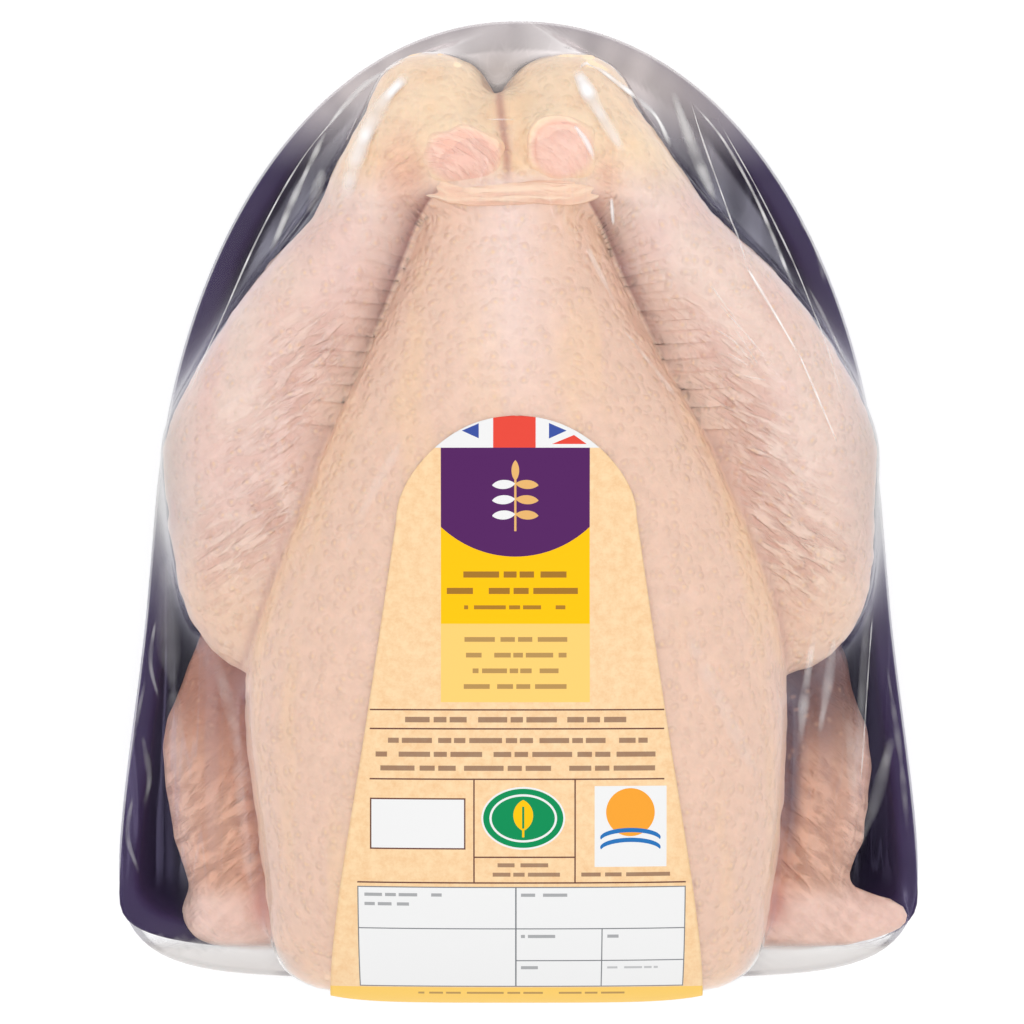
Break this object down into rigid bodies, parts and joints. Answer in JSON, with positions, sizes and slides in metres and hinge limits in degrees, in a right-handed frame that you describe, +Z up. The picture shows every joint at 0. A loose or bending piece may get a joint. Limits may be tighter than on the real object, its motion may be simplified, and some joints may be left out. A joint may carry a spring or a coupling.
{
  "type": "wrapped whole raw chicken",
  "caption": "Whole raw chicken lying breast up in a shaped plastic tray, shrink-wrapped in clear film with a paper label over the breast.",
  "frame": {"origin": "under the middle of the pack, on the surface that the tray stands on", "axes": "+Z up, out of the breast; +Y along the pack from the neck end to the leg end; +X to the right seen from above with the leg end away"},
  "size_m": [0.2204, 0.2703, 0.1192],
  "materials": {
    "tray": "smooth dark plastic sheet, thermoformed, soft gloss",
    "skin": "moist raw poultry skin, pale peach, fine follicle bumps and wrinkles",
    "film": "clear taut shrink film, glossy, with drawn creases",
    "label": "kraft-look printed paper, matt, with flat fields of colour"
  },
  "bodies": {
    "root": {"tray": "tray", "wrapped_bird": "skin", "label": "label"}
  },
  "joints": []
}
